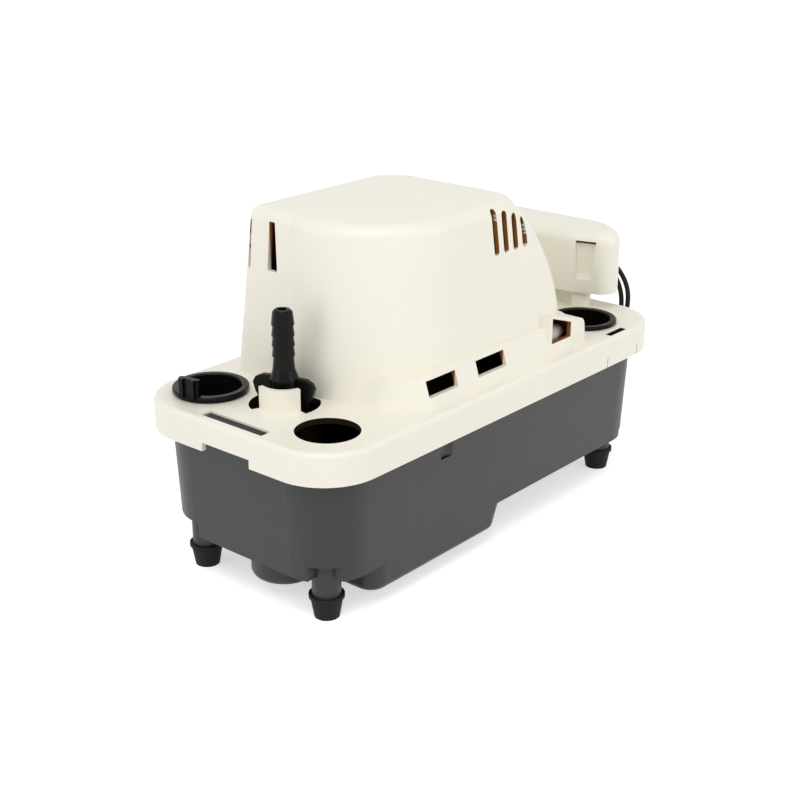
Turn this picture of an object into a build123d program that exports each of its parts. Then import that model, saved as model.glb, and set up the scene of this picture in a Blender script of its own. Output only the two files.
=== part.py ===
"""Condensate pump: tank, deck, vertical motor and centrifugal pump, float switch, check valve and leads.

Millimetres, +Z up, standing on the floor at z = 0. The discharge end points to -X, the switch end to +X.
"""
from build123d import *
from math import atan2, cos, degrees, pi, radians, sin, sqrt, tan
import os

os.makedirs("parts", exist_ok=True)

# ---- fits ---------------------------------------------------------------------------------------------
run_gap = 0.08          # radial clearance of a turning or sliding fit
seat_gap = 0.02         # radial clearance of a pressed or glued fit
loose_gap = 0.3         # clearance of moulded parts that slip over each other

# ---- deck ---------------------------------------------------------------------------------------------
deck_length = 279.4
deck_width = 132.4
deck_corner = 29.0
deck_top = 92.0
deck_plate = 3.0
skirt_height = 16.0
skirt_wall = 2.5
deck_edge = 2.5
deck_under = deck_top - deck_plate
skirt_bottom = deck_top - skirt_height

front_slot = ((4.4 - deck_length / 2, -20.4), (10.5 - deck_length / 2, 19.4))
side_slot = ((deck_length / 2 - 52.8, 2.6 - deck_width / 2), (deck_length / 2 - 37.3, 6.2 - deck_width / 2))
lug_drop = 0.9          # top of the tank's lug in the front slot, below the deck's top
rib_pitch = 1.9

# ---- tank ---------------------------------------------------------------------------------------------
tank_setback = 6.0      # how far the tank wall lies inside the deck outline
tank_wall = 2.5
tank_draft = 2.7
tank_corner = 27.5
rim_thick = 3.0
ledge_z = 22.7          # underside of the shallow floor
sump_z = 8.4            # underside of the deep floor
sump_front_inset = 38.7  # from the deck's end to the deep floor
sump_rear = -2.0
sump_slope = 5.5        # run of the step between the two floors
sump_edge = 4.0
sump_corner = 9.5
nose_r = 16.6           # round end of the sump under the discharge
nose_inset = 30.7
nose_y = -7.0
rim_half_l = deck_length / 2 - tank_setback
rim_half_w = deck_width / 2 - tank_setback

# ---- feet ---------------------------------------------------------------------------------------------
foot_front_x = -(deck_length / 2 - 23.4)
foot_rear_x = deck_length / 2 - 24.8
foot_y = deck_width / 2 - 24.9
foot_height = 12.0
foot_rim_r = 8.6
foot_bottom_r = 6.1
foot_floor = 4.0        # rubber under the spigot
post_r = 7.0
spigot_r = 4.4
notch_front = -1.9      # inner walls of the corner notches, inward of the post's axis
notch_rear = 1.0
notch_near = 0.0
notch_far = 10.8
front_pocket_top = 30.5
rear_pocket_top = 26.5
grip_x = -49.5          # half-round grips under the skirt, one on each long side
grip_z = 64.0
grip_r = 7.0
grip_depth = 2.6

# ---- inlets -------------------------------------------------------------------------------------------
inlet_r = 15.4          # open inlet
adapter_seat_r = 16.6   # inlets that hold an adapter ring
adapter_bore_r = 15.1
adapter_flange_r = 18.7
adapter_wall_gap = 0.1
adapter_depth = 10.0    # of an adapter's neck below the deck plate
inlet_inset = (28.6, 27.5)
rear_inlet_inset = (40.9, 28.8)
left_inlet = (inlet_inset[0] - deck_length / 2, deck_width / 2 - inlet_inset[1])
open_inlet = (left_inlet[0], -left_inlet[1])
rear_inlet = (deck_length / 2 - rear_inlet_inset[0], rear_inlet_inset[1] - deck_width / 2)
adapter_tab_angle = 192.0
adapter_tab_top = 104.0

# ---- check valve --------------------------------------------------------------------------------------
valve_x = -(deck_length / 2 - 40.3)
well_r = 17.2
well_wall = 1.8
well_floor_z = 60.0
well_floor = 2.5
socket_r = 8.05
socket_wall = 2.4
socket_top = 84.0
neck_r = 6.6
neck_z = 50.0
guard_r = 13.2
guard_wall = 2.2
guard_top = 103.0
guard_start = 159.0
guard_end = 259.0
ear_angle = -72.2
ear_thick = 2.6
ear_reach = 16.2
barb_top = 138.8
barb_bottoms = (131.3, 126.0, 121.1, 116.1)
barb_r = 5.45
barb_neck_r = 4.85
barb_land = 0.8
barb_bore_r = 2.3
ball_r = 4.0
ball_travel = 5.0

# ---- hood over the motor ------------------------------------------------------------------------------
motor_x = -32.4
hood_top = 177.0
hood_wall = 2.5
hood_r = 52.9           # at the deck
hood_draft = 0.076      # inward run per millimetre of height
hood_rear = 68.2        # at the deck
hood_rear_bow = ((0, 0), (26, 2.0), (44, 8.0), (64.5, 21.2), (85, 41.2))  # height over the deck and inward run
bow_step = 8.0          # the rear's slope is measured over twice this height
hood_corner = 21.6
hood_edge = 7.0
tower_front = -82.3     # at the deck
tower_corner = 6.5
plinth_top = 107.0
plinth_front = -76.7
plinth_rear = 71.3
plinth_half_w = deck_width / 2 - 7.2  # at the deck
plinth_lean = 4.7
plinth_corner = 19.5
block_face = plinth_half_w - 2
block_top = 114.0       # raised end of the plinth, falling to the rear
block_rear_top = 105.0
block_front = 37.4
vent_z = (97.2, 105.2)
vent_width = 3.9
vent_pitch = 7.9
vent_drops = (1.9, 4.0, 6.5, 10.0)  # tops of the leaning vents below the hood's top
vent_low = 25.3         # their lower ends below the hood's top

# ---- switch housing -----------------------------------------------------------------------------------
box_front = deck_length / 2 - 26.3
box_rear = deck_length / 2 + 7.2
box_near = -(deck_width / 2 - 23.7)
box_far = deck_width / 2 - 16.2
box_bend_y = -16.2
box_near_x = deck_length / 2 - 18.7
box_floor_z = 101.8
box_floor = 2.4
box_top = 138.0
box_wall = 2.0
box_edge = 8.0
box_rear_r = 30.0
box_far_r = 12.0
box_near_r = 10.0
bridge_y = 12.0
bridge_front = 56.0
box_base = box_floor_z + box_floor
groove_depth = 3.5
groove_top = box_top - box_base - 6.0

# ---- motor --------------------------------------------------------------------------------------------
shaft_r = 3.0
stack_height = 22.0
stack_half_w = 27.0
rotor_r = 15.2
air_gap = 0.4
bracket_thick = 2.5
bracket_leg_y = 24.0
bracket_leg_r = 4.5
bolt_r = 2.0
bearing_r = 5.95
bearing_height = 8.0
rotor_over = 1.0        # rotor beyond the stack, above and below
rotor_under = 4.0
face_gap = 1.0          # between a turning face and the next fixed one
fan_r = 30.0
fan_height = 8.0
fan_headroom = 8.5
fan_z = hood_top - hood_wall - fan_headroom - fan_height
# the height left over is shared between the two sides of the stack
motor_height = 2 * bearing_height + stack_height + rotor_over + rotor_under + 2 * face_gap
free_height = fan_z - deck_top - motor_height
bearing_z = (deck_top + free_height * 13 / 21, fan_z - face_gap - bearing_height)
stack_z = bearing_z[0] + bearing_height + face_gap + rotor_under

# ---- pump ---------------------------------------------------------------------------------------------
volute_r = 26.0
volute_z = (19.0, 36.0)
cavity_r = 22.0
cavity_top = 33.0
impeller_r = 20.0
impeller_z = (22.5, 31.0)
column_r = 8.0
column_bore_r = 4.5
nozzle_z = 27.0
nozzle_end_x = -66.0
tube_r = 6.5
tube_bore_r = 4.5

# ---- float switch -------------------------------------------------------------------------------------
rod_x = deck_length / 2 - 20.5
rod_y = deck_width / 2 - 30.2
rod_r = 2.0
float_travel = 16.0
float_z = 30.0
float_height = 20.0
float_side = 40.0
float_corner = 10.0
float_reach = (14.2, 6.0)  # the rod stands this far from the float's middle
pivot_y = -2.0
pivot_z = 121.0
lever_gain = 27.6       # radians of lever per metre of float
arm_thick = 3.0
pin_r = 1.5
nose_reach = 5.5
switch_x = (rod_x + 1.3, rod_x + 10.3)
switch_size = (6.4, 19.0, 10.4)
plunger_r = 1.2

# ---- leads --------------------------------------------------------------------------------------------
lead_r = 1.45
lead_y = -4.0
lead_heights = (112.6, 107.6)
lead_start_x = box_rear + 4.0
grommet_r = 2.9
coil_r = 16.0
coil_centres = {"a": (162.0, 31.2), "b": (162.0, 70.2)}
coil_slack = 0.3        # the turns lie a little loose in the coil's outer shape
stub_in = 11.0          # straight ends of a coil, where the lead comes in and goes on to its terminal
stub_out = 14.5


def save(piece, name):
    """Place one finished piece on the centre of the whole footprint, label it and write its STEP file."""
    placed = piece.moved(Location(((deck_length / 2 - box_rear) / 2, 0, 0)))
    placed.label = name
    export_step(placed, f"parts/{name}.step")


def box_between(low, high, mode=Mode.ADD):
    """A block from its lowest to its highest corner, in the active part."""
    size = [b - a for a, b in zip(low, high)]
    middle = [(a + b) / 2 for a, b in zip(low, high)]
    with Locations(tuple(middle)):
        Box(*size, mode=mode)


def pillar(x, y, z0, z1, r, mode=Mode.ADD):
    """An upright cylinder between two heights, in the active part."""
    with Locations((x, y, (z0 + z1) / 2)):
        Cylinder(r, z1 - z0, mode=mode)


def upright_tube(x, y, z0, z1, r_out, r_in):
    """An upright tube as a part of its own."""
    with BuildPart() as tube:
        pillar(x, y, z0, z1, r_out)
        pillar(x, y, z0, z1, r_in, Mode.SUBTRACT)
    return tube.part


# ======================================================================================================
# Tank and feet
# ======================================================================================================
def posts(x):
    """The two foot positions at one end of the tank."""
    return [(x, -foot_y), (x, foot_y)]


def corner_notch(x, y, top, inset):
    """Cut the corner of the tank away around one post, in the active part."""
    end, side = (1 if x > 0 else -1), (1 if y > 0 else -1)
    inner_x = x - ((notch_rear if x > 0 else notch_front) + inset) * end
    inner_y = y - ((notch_far if y > 0 else notch_near) + inset) * side
    reach = deck_width / 2
    box_between((min(inner_x, inner_x + reach * end), min(inner_y, inner_y + reach * side), 0),
                (max(inner_x, inner_x + reach * end), max(inner_y, inner_y + reach * side), top), Mode.SUBTRACT)


def sump_outline(z, rear, half_w, inset):
    """Plan of the deep floor's main part at height z."""
    front = sump_front_inset - deck_length / 2 + inset
    with BuildSketch(Plane.XY.offset(z)) as plan:
        with Locations(((front + rear) / 2, 0)):
            RectangleRounded(rear - front, 2 * half_w, sump_corner - inset)
    return plan.sketch


def sump_form(inset, low_half_w, high_half_w):
    """The deep end of the tank, from the sump floor to the ledge, with its round nose."""
    with BuildPart() as form:
        add(sump_outline(sump_z + inset, sump_rear - inset, low_half_w, inset))
        add(sump_outline(ledge_z + inset + 0.5, sump_rear + sump_slope - inset, high_half_w, inset))
        loft()
        fillet(form.faces().sort_by(Axis.Z)[0].edges(), sump_edge - inset)
    with BuildPart() as nose:
        pillar(nose_inset - deck_length / 2, nose_y, sump_z + inset, ledge_z + inset + 0.5, nose_r - inset)
        fillet(nose.faces().sort_by(Axis.Z)[0].edges(), sump_edge - inset)
    return form.part + nose.part


def tank_form(inset):
    """Outside form of the tank, drawn in by inset to give its inside."""
    low = ledge_z + inset
    drop = deck_under - low
    lean = tan(radians(tank_draft))
    half_l = rim_half_l - drop * lean - inset
    half_w = rim_half_w - drop * lean - inset
    with BuildPart() as form:
        with BuildSketch(Plane.XY.offset(low)):
            RectangleRounded(2 * half_l, 2 * half_w, tank_corner - drop * lean - inset)
        extrude(amount=drop, taper=-tank_draft)
        add(sump_form(inset, half_w - (ledge_z - sump_z) * lean, half_w))
        for end_x, top in ((foot_front_x, front_pocket_top), (foot_rear_x, rear_pocket_top)):
            for x, y in posts(end_x):
                corner_notch(x, y, top + inset, inset)
        for side in (-1, 1):
            pillar(grip_x, side * (rim_half_w + grip_r - grip_depth), grip_z - inset, deck_under,
                   grip_r + inset, Mode.SUBTRACT)
    return form.part


def tank_rim():
    """The flange that the deck rests on."""
    reach = skirt_wall + loose_gap
    with BuildPart() as rim:
        with BuildSketch(Plane.XY.offset(deck_under - rim_thick)):
            RectangleRounded(deck_length - 2 * reach, deck_width - 2 * reach, deck_corner - reach)
        extrude(amount=rim_thick)
    return rim.part


with BuildPart() as tank:
    add(tank_form(0))
    add(tank_rim())
    add(tank_form(tank_wall), mode=Mode.SUBTRACT)
    for end_x, top in ((foot_front_x, front_pocket_top), (foot_rear_x, rear_pocket_top)):
        for x, y in posts(end_x):
            pillar(x, y, foot_height, top + tank_wall, post_r)
            pillar(x, y, foot_floor, foot_height, spigot_r)
    # ribbed lug that stands up into the front slot of the deck, and the cut under its side slot
    box_between((front_slot[0][0] + loose_gap, front_slot[0][1] + loose_gap, deck_under - rim_thick),
                (front_slot[1][0] - loose_gap, front_slot[1][1] - loose_gap, deck_top - lug_drop))
    ribs = int((front_slot[1][1] - front_slot[0][1]) / rib_pitch) - 1
    with Locations(((front_slot[0][0] + front_slot[1][0]) / 2, (front_slot[0][1] + front_slot[1][1]) / 2,
                    deck_top - lug_drop)):
        with GridLocations(1, rib_pitch, 1, ribs):
            Box(front_slot[1][0] - front_slot[0][0] - 4 * loose_gap, rib_pitch / 2, 0.8, mode=Mode.SUBTRACT)
    box_between((*side_slot[0], deck_under - rim_thick - 1), (side_slot[1][0], side_slot[0][1] + 3.2, deck_under + 1),
                Mode.SUBTRACT)
save(tank.part, "tank")


def foot(x, y):
    """A tapered rubber cup pushed onto the spigot of a post."""
    rim_low = foot_height - 1.8
    with BuildPart() as cup:
        with BuildSketch(Plane.XZ):
            with BuildLine():
                Polyline((0, 0), (foot_bottom_r, 0), (foot_rim_r - 0.7, rim_low), (foot_rim_r, rim_low),
                         (foot_rim_r, foot_height), (spigot_r + seat_gap, foot_height),
                         (spigot_r + seat_gap, foot_floor), (0, foot_floor), (0, 0))
            make_face()
        revolve(axis=Axis.Z)
    return cup.part.moved(Location((x, y, 0)))


foot_places = {"front_left": (foot_front_x, foot_y), "front_right": (foot_front_x, -foot_y),
               "rear_left": (foot_rear_x, foot_y), "rear_right": (foot_rear_x, -foot_y)}
for place, (x, y) in foot_places.items():
    save(foot(x, y), f"foot_{place}")


# ======================================================================================================
# Deck
# ======================================================================================================
def arc_wall(r_out, r_in, z0, z1):
    """A curved wall about the check valve, over the guard's angles."""
    with BuildPart() as wall:
        with BuildSketch(Plane.XY.offset(z0)):
            with BuildLine():
                outer = CenterArc((valve_x, 0), r_out, guard_start, guard_end - guard_start)
                inner = CenterArc((valve_x, 0), r_in, guard_start, guard_end - guard_start)
                Line(outer @ 0, inner @ 0)
                Line(outer @ 1, inner @ 1)
            make_face()
        extrude(amount=z1 - z0)
    return wall.part


def valve_well():
    """The cup under the deck with the socket that the check valve plugs into."""
    with BuildPart() as well:
        pillar(valve_x, 0, well_floor_z, deck_under + 1, well_r + well_wall)
        pillar(valve_x, 0, well_floor_z + well_floor, deck_under + 1, well_r, Mode.SUBTRACT)
        pillar(valve_x, 0, well_floor_z, socket_top, socket_r + socket_wall)
        pillar(valve_x, 0, neck_z, well_floor_z + 1, neck_r + socket_wall)
        pillar(valve_x, 0, neck_z, well_floor_z, neck_r, Mode.SUBTRACT)
        pillar(valve_x, 0, well_floor_z, socket_top, socket_r, Mode.SUBTRACT)
    return well.part


def inlet_cut(place, r):
    """Bore of one inlet through the deck plate, in the active part."""
    pillar(*place, deck_under, deck_top, r, Mode.SUBTRACT)


post_near = (deck_length / 2 - 17.2, -20.0)
post_far = (deck_length / 2 - 7.7, deck_width / 2 - 30.2)
guide_r = 5.0
guide_z = (80.0, 100.0)

with BuildPart() as deck_cover:
    with BuildSketch(Plane.XY.offset(skirt_bottom)):
        RectangleRounded(deck_length, deck_width, deck_corner)
    extrude(amount=skirt_height)
    fillet(deck_cover.faces().sort_by(Axis.Z)[-1].edges(), deck_edge)
    with BuildSketch(Plane.XY.offset(skirt_bottom)):
        RectangleRounded(deck_length - 2 * skirt_wall, deck_width - 2 * skirt_wall, deck_corner - skirt_wall)
    extrude(amount=skirt_height - deck_plate, mode=Mode.SUBTRACT)
    # well of the check valve: the plate is open up to the foot of the hood
    with BuildSketch(Plane.XY.offset(deck_under)):
        with Locations((valve_x, 0)):
            Circle(well_r)
        hood_foot = motor_x - hood_r
        with Locations((hood_foot + well_r, 0)):
            Rectangle(2 * well_r, 3 * well_r, mode=Mode.SUBTRACT)
    extrude(amount=deck_plate, mode=Mode.SUBTRACT)
    add(valve_well())
    add(arc_wall(well_r + 0.5, guard_r - guard_wall, socket_top, deck_top))
    add(arc_wall(guard_r, guard_r - guard_wall, well_floor_z + 1, guard_top))
    inlet_cut(left_inlet, adapter_seat_r)
    inlet_cut(rear_inlet, adapter_seat_r)
    inlet_cut(open_inlet, inlet_r)
    # slots in the plate, the notch in the front skirt and the two slits beside the rear snap tab
    for low, high in (front_slot, side_slot):
        box_between((*low, deck_under - 1), (*high, deck_top + 1), Mode.SUBTRACT)
    box_between((-deck_length / 2 - 1, -16.3, skirt_bottom - 1),
                (-deck_length / 2 + skirt_wall + 1, 14.8, skirt_bottom + 4.4), Mode.SUBTRACT)
    for slit_x in (deck_length / 2 - 59.1, deck_length / 2 - 29.5):
        box_between((slit_x, -deck_width / 2 - 1, skirt_bottom - 1),
                    (slit_x + 0.9, -deck_width / 2 + skirt_wall + 0.5, skirt_bottom + 5.5), Mode.SUBTRACT)
    # posts and webs that carry the switch housing, and the float rod's guide
    pillar(*post_near, deck_top - 1, box_floor_z, 5.8)
    pillar(*post_far, deck_top - 1, box_floor_z, 5.8)
    box_between((post_near[0] - 1.2, post_near[1], deck_top - 1), (post_near[0] + 1.2, 8, box_floor_z))
    box_between((rod_x - 27.2, 16, deck_top - 1), (rod_x - 24.8, rod_y + 10, box_floor_z))
    pillar(rod_x, rod_y, guide_z[0], guide_z[1], guide_r)
    pillar(rod_x, rod_y, guide_z[0], guide_z[1], rod_r + run_gap, Mode.SUBTRACT)
    # holes for the shaft and the motor bolts
    pillar(motor_x, 0, deck_under, deck_top, column_bore_r, Mode.SUBTRACT)
    for side in (-1, 1):
        pillar(motor_x, side * bracket_leg_y, deck_under, deck_top, bolt_r + seat_gap, Mode.SUBTRACT)
save(deck_cover.part, "deck_cover")


# ======================================================================================================
# Hood
# ======================================================================================================
def rear_bow(rise):
    """How far the hood's rear has come in at a height over the deck."""
    for (low, low_run), (high, high_run) in zip(hood_rear_bow, hood_rear_bow[1:]):
        if rise <= high:
            break
    return low_run + (high_run - low_run) * (rise - low) / (high - low)


def hood_outline(z, inset):
    """Plan of the hood at height z: round front, squared tower on the far side, slanted rear."""
    rise = z - deck_top
    r = hood_r - hood_draft * rise - inset
    slope = (rear_bow(rise + bow_step) - rear_bow(rise - bow_step)) / (2 * bow_step)
    rear = hood_rear - rear_bow(rise) - inset / cos(atan2(slope, 1))
    front = tower_front + hood_draft * rise + inset
    corner = hood_corner - inset
    edge = tower_corner - inset
    crease_y = sqrt(r * r - (front - motor_x) ** 2)
    with BuildSketch(Plane.XY.offset(z)) as plan:
        with BuildLine():
            Line((motor_x, -r), (rear - corner, -r))
            CenterArc((rear - corner, corner - r), corner, -90, 90)
            Line((rear, corner - r), (rear, r - corner))
            CenterArc((rear - corner, r - corner), corner, 0, 90)
            Line((rear - corner, r), (front + edge, r))
            CenterArc((front + edge, r - edge), edge, 90, 90)
            Line((front, r - edge), (front, crease_y))
            crease = 180 - degrees(atan2(crease_y, motor_x - front))
            CenterArc((motor_x, 0), r, crease, 270 - crease)
        make_face()
    return plan.sketch


def hood_form(inset):
    """Form of the hood from the deck to its rounded top edge."""
    top = hood_top - inset
    heights = [deck_top + rise for rise, run in hood_rear_bow[:-1]]
    with BuildPart() as form:
        for z in [z for z in heights if z < top - hood_edge] + [top]:
            add(hood_outline(z, inset))
        loft()
        fillet(form.faces().sort_by(Axis.Z)[-1].edges(), hood_edge - inset)
    return form.part


def plinth_form(inset):
    """Low skirt of the hood with slanted sides, and the raised block at its rear near end."""
    lean = degrees(atan2(plinth_lean, plinth_top - deck_top))
    with BuildPart() as form:
        with BuildSketch(Plane.XY.offset(deck_top)):
            with Locations(((plinth_front + plinth_rear) / 2, 0)):
                RectangleRounded(plinth_rear - plinth_front - 2 * inset, 2 * (plinth_half_w - inset),
                                 plinth_corner - inset)
        extrude(amount=plinth_top - deck_top - inset, taper=lean)
        with BuildSketch(Plane.XZ.offset(block_face - inset)) as block:
            with BuildLine():
                Polyline((block_front, deck_top), (block_front, block_top), (plinth_rear - 1.5, block_rear_top),
                         (plinth_rear, deck_top), (block_front, deck_top))
            make_face()
            fillet(block.vertices().group_by(Axis.X)[-2], 5)
            if inset:
                offset(amount=-inset, kind=Kind.INTERSECTION)
        extrude(amount=-24 + 2 * inset)
    return form.part


def near_vent(x0, x1, z0, z1):
    """A window in the near side of the plinth, in the active part."""
    box_between((x0, -plinth_half_w - 3, z0), (x1, -plinth_half_w + 9, z1), Mode.SUBTRACT)


vent_wall = hood_r - 14   # the leaning vents are cut from this plane outwards


with BuildPart() as motor_hood:
    add(hood_form(0))
    add(plinth_form(0))
    add(hood_form(hood_wall), mode=Mode.SUBTRACT)
    add(plinth_form(hood_wall), mode=Mode.SUBTRACT)
    near_vent(-60.5, -38.9, *vent_z)
    near_vent(-22.7, 0, *vent_z)
    # window in the raised end, its top falling with the block's
    with BuildSketch(Plane.XZ.offset(block_face - 6)):
        with BuildLine():
            Polyline((block_front + 2.6, vent_z[0] + 0.8), (block_front + 19.8, vent_z[0] + 0.8),
                     (block_front + 19.8, block_rear_top + 1.0), (block_front + 2.6, block_top - 2.2),
                     (block_front + 2.6, vent_z[0] + 0.8))
        make_face()
    extrude(amount=10, mode=Mode.SUBTRACT)
    # leaning vents high on the near side, shorter towards the rear
    for number, drop in enumerate(vent_drops):
        height = vent_low - drop
        with BuildSketch(Plane.XZ.offset(vent_wall)):
            with Locations(Location((1.0 + number * vent_pitch, hood_top - drop - height / 2), 4.5)):
                SlotOverall(height, vent_width, rotation=90)
        extrude(amount=20, mode=Mode.SUBTRACT)
    # tapered slot in the front of the tower and a narrow one round its corner
    slot_low, slot_high = hood_top - 30, hood_top - 6
    with BuildSketch(Plane.YZ.offset(tower_front - 2)):
        with BuildLine():
            Polyline((24.2, slot_low), (30.7, slot_low), (30.3, slot_high), (26.6, slot_high), (24.2, slot_low))
        make_face()
    extrude(amount=14, mode=Mode.SUBTRACT)
    box_between((tower_front - 2, hood_r - 10.3, slot_low - 1), (tower_front + 14, hood_r - 8.5, slot_high - 1),
                Mode.SUBTRACT)
save(motor_hood.part, "motor_hood")


# ======================================================================================================
# Switch housing
# ======================================================================================================
def box_outline(z, inset):
    """Plan of the switch housing: yawed near end, round rear corner and a bridge to the hood."""
    centre = (box_rear - box_rear_r, box_near + box_rear_r)
    near_turn = -82.0
    near_end = (centre[0] + box_rear_r * cos(radians(near_turn)), centre[1] + box_rear_r * sin(radians(near_turn)))
    with BuildSketch(Plane.XY.offset(z)) as plan:
        with BuildLine():
            Polyline((box_rear, centre[1]), (box_rear, box_far), (bridge_front, box_far), (bridge_front, bridge_y),
                     (box_front, bridge_y), (box_front, box_bend_y), near_end)
            CenterArc(centre, box_rear_r, near_turn, -near_turn)
        make_face()
        fillet(plan.vertices().sort_by_distance((box_rear, box_far, z))[0], box_far_r)
        fillet(plan.vertices().sort_by_distance((near_end[0], near_end[1], z))[0], box_near_r)
        fillet(plan.vertices().sort_by_distance((box_front, box_bend_y, z))[0], 12)
        if inset:
            offset(amount=-inset, kind=Kind.INTERSECTION)
    return plan.sketch


def box_form(inset):
    """Form of the switch cover above its floor."""
    with BuildPart() as form:
        add(box_outline(box_base, inset))
        extrude(amount=box_top - inset - box_base)
        fillet(form.faces().sort_by(Axis.Z)[-1].edges(), box_edge - inset)
    return form.part


def grommet_slot(x0, x1, lean=0):
    """Upright stadium through the rear wall of the switch cover, round the two leads."""
    middle = (x0, lead_y, (lead_heights[0] + lead_heights[1]) / 2)
    with BuildPart() as slot:
        with BuildSketch(Plane(origin=middle, x_dir=(0, 0, 1), z_dir=(1, 0, 0))):
            SlotCenterToCenter(lead_heights[0] - lead_heights[1], 2 * grommet_r)
        extrude(amount=x1 - x0, taper=lean)
    return slot.part


gland_place = (deck_length / 2 - 11.7, box_far, 120.0)
gland_r = 6.0

with BuildPart() as switch_cover:
    add(box_form(0))
    add(box_form(box_wall), mode=Mode.SUBTRACT)
    # tapered groove down the yawed part of the front wall, with its backing
    yaw = degrees(atan2(box_near - box_bend_y, box_near_x - box_front))
    groove = Plane(origin=((box_front + box_near_x) / 2, (box_bend_y + box_near) / 2, box_base),
                   x_dir=(cos(radians(yaw)), sin(radians(yaw)), 0), z_dir=(sin(radians(yaw)), -cos(radians(yaw)), 0))
    with BuildSketch(groove.offset(-groove_depth - box_wall)):
        with Locations((-4, (box_top - box_edge - box_base) / 2)):
            Rectangle(14, box_top - box_edge - box_base)
    extrude(amount=groove_depth + 0.5)
    with BuildSketch(groove):
        with BuildLine():
            Polyline((-9.2, 5.5), (-0.4, 5.5), (2.3, groove_top), (-9.8, groove_top), (-9.2, 5.5))
        make_face()
    extrude(amount=-groove_depth, mode=Mode.SUBTRACT)
    add(hood_form(-loose_gap), mode=Mode.SUBTRACT)
    add(plinth_form(-loose_gap), mode=Mode.SUBTRACT)
    add(grommet_slot(box_rear - 6, box_rear + 3), mode=Mode.SUBTRACT)
    with Locations(Location(gland_place, (90, 0, 0))):
        Cylinder(gland_r + seat_gap, 8, mode=Mode.SUBTRACT)
save(switch_cover.part, "switch_cover")

with BuildPart() as switch_tray:
    add(box_outline(box_floor_z, 0))
    extrude(amount=box_floor)
    add(hood_form(-loose_gap), mode=Mode.SUBTRACT)
    add(plinth_form(-loose_gap), mode=Mode.SUBTRACT)
    pillar(rod_x, rod_y, box_floor_z, box_base, rod_r + loose_gap, Mode.SUBTRACT)
save(switch_tray.part, "switch_tray")

with BuildPart() as lead_grommet:
    add(grommet_slot(box_rear - box_wall - 1.5, box_rear + 0.8))
    add(grommet_slot(box_rear + 0.8, lead_start_x, 7))
save(lead_grommet.part, "lead_grommet")

with BuildPart() as power_gland:
    with Locations(Location((gland_place[0], box_far - 1, gland_place[2]), (90, 0, 0))):
        Cylinder(gland_r, 10)
    with Locations(Location((gland_place[0], box_far + 1.5, gland_place[2]), (90, 0, 0))):
        Cylinder(gland_r + 1.6, 3)
    with Locations(Location((gland_place[0], box_far, gland_place[2]), (90, 0, 0))):
        Cylinder(3.4, 30, mode=Mode.SUBTRACT)
save(power_gland.part, "power_gland")


# ======================================================================================================
# Inlet adapters
# ======================================================================================================
def adapter(place, lift):
    """A ring that stands in an inlet; lift is the height of its shoulder above the deck."""
    neck_r = adapter_seat_r - adapter_wall_gap
    flange_low = deck_top + lift
    with BuildPart() as ring:
        with BuildSketch(Plane.XZ):
            with BuildLine():
                Polyline((adapter_bore_r, deck_under - adapter_depth), (neck_r, deck_under - adapter_depth),
                         (neck_r, deck_top), (neck_r + 0.8, deck_top), (neck_r + 0.8, flange_low),
                         (adapter_flange_r, flange_low), (adapter_flange_r, flange_low + 1.4),
                         (adapter_flange_r - 0.6, flange_low + 2), (adapter_bore_r + 0.6, flange_low + 2),
                         (adapter_bore_r, flange_low + 1.4), (adapter_bore_r, deck_under - adapter_depth))
            make_face()
        revolve(axis=Axis.Z)
    return ring.part.moved(Location((place[0], place[1], 0)))


with BuildPart() as inlet_adapter_left:
    add(adapter(left_inlet, 1.4))
    tab = Location((left_inlet[0], left_inlet[1], deck_top), (0, 0, adapter_tab_angle))
    tab_height = adapter_tab_top - deck_top - 2.4
    with Locations(tab * Location((adapter_bore_r + 1.8, 0, 2.4 + tab_height / 2))):
        Box(2.4, 11, tab_height)
    for ridge in (-3.2, 3.2):
        with Locations(tab * Location((adapter_bore_r + 3.6, ridge, 2.4 + tab_height / 2))):
            Box(1.4, 1.6, tab_height)
save(inlet_adapter_left.part, "inlet_adapter_left")
save(adapter(rear_inlet, 0.4), "inlet_adapter_rear")


# ======================================================================================================
# Check valve
# ======================================================================================================
stem_r = socket_r - run_gap
stem_low = well_floor_z + 2
chamber_r = ball_r + 1.0
seat_hole_r = 3.0
seat_z = stem_low + 6
ball_z = seat_z + sqrt(ball_r ** 2 - seat_hole_r ** 2) + 0.05
chamber_top = ball_z + ball_r + ball_travel + 0.4
ring_z = stem_low + 12
ring_section = 0.88
ring_centre_r = socket_r - run_gap / 2 - ring_section
ring_groove_r = ring_centre_r - ring_section - seat_gap


def barb_profile():
    """Half outline of the barbed spigot above the valve body, each barb with a short land at its edge."""
    points = [(0, 104.9), (barb_r - 0.1, 109.5), (barb_neck_r, barb_bottoms[-1])]
    lower_ends = list(reversed(barb_bottoms))
    upper_ends = lower_ends[1:] + [barb_top - 1.2]
    for bottom, above in zip(lower_ends, upper_ends):
        points += [(barb_r, bottom), (barb_r, bottom + barb_land), (barb_neck_r, above)]
    return points + [(barb_neck_r - 1.2, barb_top), (0, barb_top)]


def ear_outline():
    """Finger ear of the valve in its own plane: distance from the axis and height."""
    with BuildSketch() as ear:
        with BuildLine():
            Polyline((4, 105.9), (11.5, 105.5), (ear_reach - 1.4, 103.9), (ear_reach, 101.2),
                     (ear_reach - 1.2, 97), (10.6, 88.6), (9.2, 86), (8.4, 86), (8.4, 98), (4, 99), (4, 105.9))
        make_face()
    return ear.sketch


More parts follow.
